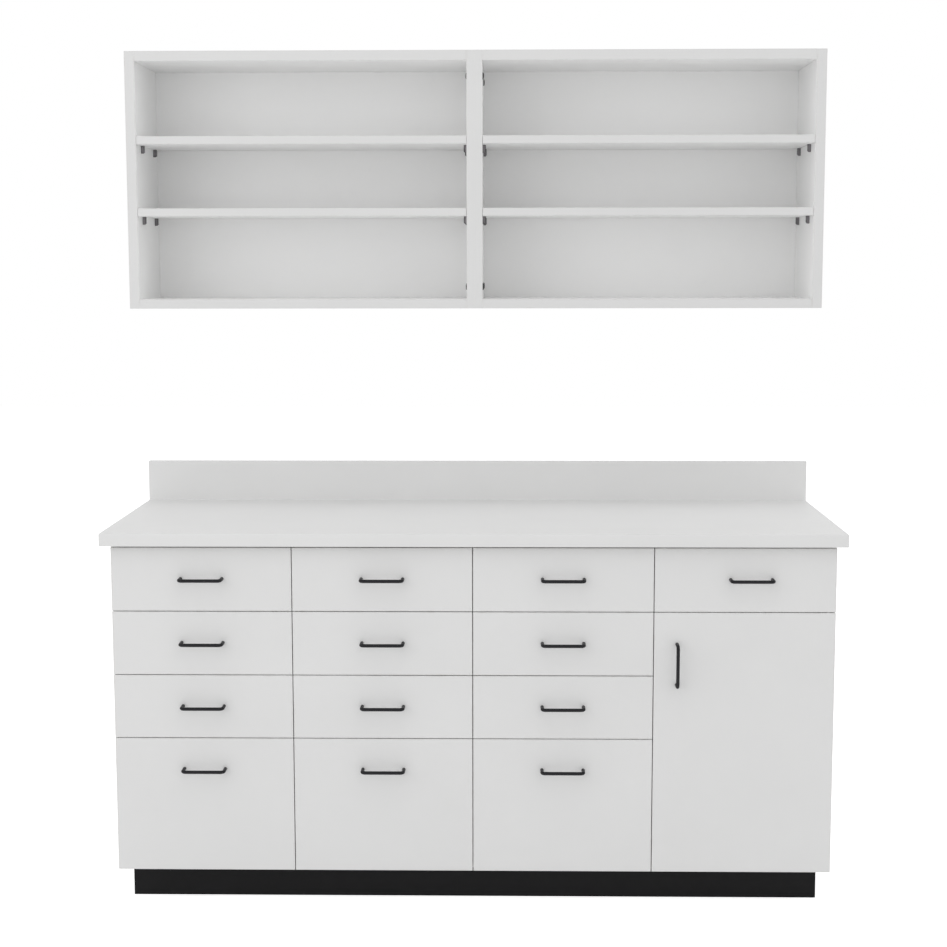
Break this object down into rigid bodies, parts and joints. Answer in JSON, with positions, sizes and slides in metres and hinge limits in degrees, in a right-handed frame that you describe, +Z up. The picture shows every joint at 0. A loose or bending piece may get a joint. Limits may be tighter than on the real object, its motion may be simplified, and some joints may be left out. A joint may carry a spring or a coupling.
{
  "type": "pharmacy cabinet with wall shelves",
  "caption": "White laminate clinic cabinet run with drawers, a side cupboard, black bar pulls and a worktop with upstand, below a pair of open wall shelf cases.",
  "frame": {"origin": "on the floor, in the middle of the outer box in plan", "axes": "+Z up, -Y out of the drawer faces, +Y into the wall, +X to the right as seen from the front"},
  "size_m": [1.721, 0.614, 2.0206],
  "materials": {
    "white_laminate": "white melamine laminate on particle board, satin",
    "worktop_laminate": "white high-pressure laminate on particle board, fine satin",
    "drawer_box": "white melamine drawer board with steel slide members",
    "black_plinth": "black laminate, matte",
    "black_pull": "black powder coat, satin",
    "nickel_steel": "nickel plated steel"
  },
  "bodies": {
    "cabinet": {"worktop": "worktop_laminate", "toe_kick": "black_plinth", "base_left_side": "white_laminate", "base_right_side": "white_laminate", "base_partition_1": "white_laminate", "base_partition_2": "white_laminate", "base_partition_3": "white_laminate", "base_deck": "white_laminate", "base_back": "white_laminate", "hinge_arm_upper": "nickel_steel", "hinge_arm_lower": "nickel_steel", "wall_case_left": "white_laminate", "wall_case_right": "white_laminate", "wall_shelf_left_lower": "white_laminate", "wall_shelf_left_upper": "white_laminate", "wall_shelf_right_lower": "white_laminate", "wall_shelf_right_upper": "white_laminate"},
    "drawer_c1_r1": {"drawer_c1_r1_front": "white_laminate", "drawer_c1_r1_box": "drawer_box", "drawer_c1_r1_pull": "black_pull"},
    "drawer_c1_r2": {"drawer_c1_r2_front": "white_laminate", "drawer_c1_r2_box": "drawer_box", "drawer_c1_r2_pull": "black_pull"},
    "drawer_c1_r3": {"drawer_c1_r3_front": "white_laminate", "drawer_c1_r3_box": "drawer_box", "drawer_c1_r3_pull": "black_pull"},
    "drawer_c1_r4": {"drawer_c1_r4_front": "white_laminate", "drawer_c1_r4_box": "drawer_box", "drawer_c1_r4_pull": "black_pull"},
    "drawer_c2_r1": {"drawer_c2_r1_front": "white_laminate", "drawer_c2_r1_box": "drawer_box", "drawer_c2_r1_pull": "black_pull"},
    "drawer_c2_r2": {"drawer_c2_r2_front": "white_laminate", "drawer_c2_r2_box": "drawer_box", "drawer_c2_r2_pull": "black_pull"},
    "drawer_c2_r3": {"drawer_c2_r3_front": "white_laminate", "drawer_c2_r3_box": "drawer_box", "drawer_c2_r3_pull": "black_pull"},
    "drawer_c2_r4": {"drawer_c2_r4_front": "white_laminate", "drawer_c2_r4_box": "drawer_box", "drawer_c2_r4_pull": "black_pull"},
    "drawer_c3_r1": {"drawer_c3_r1_front": "white_laminate", "drawer_c3_r1_box": "drawer_box", "drawer_c3_r1_pull": "black_pull"},
    "drawer_c3_r2": {"drawer_c3_r2_front": "white_laminate", "drawer_c3_r2_box": "drawer_box", "drawer_c3_r2_pull": "black_pull"},
    "drawer_c3_r3": {"drawer_c3_r3_front": "white_laminate", "drawer_c3_r3_box": "drawer_box", "drawer_c3_r3_pull": "black_pull"},
    "drawer_c3_r4": {"drawer_c3_r4_front": "white_laminate", "drawer_c3_r4_box": "drawer_box", "drawer_c3_r4_pull": "black_pull"},
    "drawer_c4_r1": {"drawer_c4_r1_front": "white_laminate", "drawer_c4_r1_box": "drawer_box", "drawer_c4_r1_pull": "black_pull"},
    "cupboard_door": {"door": "white_laminate", "door_pull": "black_pull", "hinge_cup_upper": "nickel_steel", "hinge_cup_lower": "nickel_steel"}
  },
  "joints": [
    {"name": "drawer_c1_r1_slide", "type": "slide", "parent": "cabinet", "child": "drawer_c1_r1", "axis": [0, -1, 0], "range_m": [0, 0.375]},
    {"name": "drawer_c1_r2_slide", "type": "slide", "parent": "cabinet", "child": "drawer_c1_r2", "axis": [0, -1, 0], "range_m": [0, 0.375]},
    {"name": "drawer_c1_r3_slide", "type": "slide", "parent": "cabinet", "child": "drawer_c1_r3", "axis": [0, -1, 0], "range_m": [0, 0.375]},
    {"name": "drawer_c1_r4_slide", "type": "slide", "parent": "cabinet", "child": "drawer_c1_r4", "axis": [0, -1, 0], "range_m": [0, 0.375]},
    {"name": "drawer_c2_r1_slide", "type": "slide", "parent": "cabinet", "child": "drawer_c2_r1", "axis": [0, -1, 0], "range_m": [0, 0.375]},
    {"name": "drawer_c2_r2_slide", "type": "slide", "parent": "cabinet", "child": "drawer_c2_r2", "axis": [0, -1, 0], "range_m": [0, 0.375]},
    {"name": "drawer_c2_r3_slide", "type": "slide", "parent": "cabinet", "child": "drawer_c2_r3", "axis": [0, -1, 0], "range_m": [0, 0.375]},
    {"name": "drawer_c2_r4_slide", "type": "slide", "parent": "cabinet", "child": "drawer_c2_r4", "axis": [0, -1, 0], "range_m": [0, 0.375]},
    {"name": "drawer_c3_r1_slide", "type": "slide", "parent": "cabinet", "child": "drawer_c3_r1", "axis": [0, -1, 0], "range_m": [0, 0.375]},
    {"name": "drawer_c3_r2_slide", "type": "slide", "parent": "cabinet", "child": "drawer_c3_r2", "axis": [0, -1, 0], "range_m": [0, 0.375]},
    {"name": "drawer_c3_r3_slide", "type": "slide", "parent": "cabinet", "child": "drawer_c3_r3", "axis": [0, -1, 0], "range_m": [0, 0.375]},
    {"name": "drawer_c3_r4_slide", "type": "slide", "parent": "cabinet", "child": "drawer_c3_r4", "axis": [0, -1, 0], "range_m": [0, 0.375]},
    {"name": "drawer_c4_r1_slide", "type": "slide", "parent": "cabinet", "child": "drawer_c4_r1", "axis": [0, -1, 0], "range_m": [0, 0.375]},
    {"name": "door_hinge", "type": "hinge", "parent": "cabinet", "child": "cupboard_door", "pos_m": [0.8308, -0.2636, 0.3997], "axis": [0, 0, 1], "range_deg": [0, 100]}
  ]
}
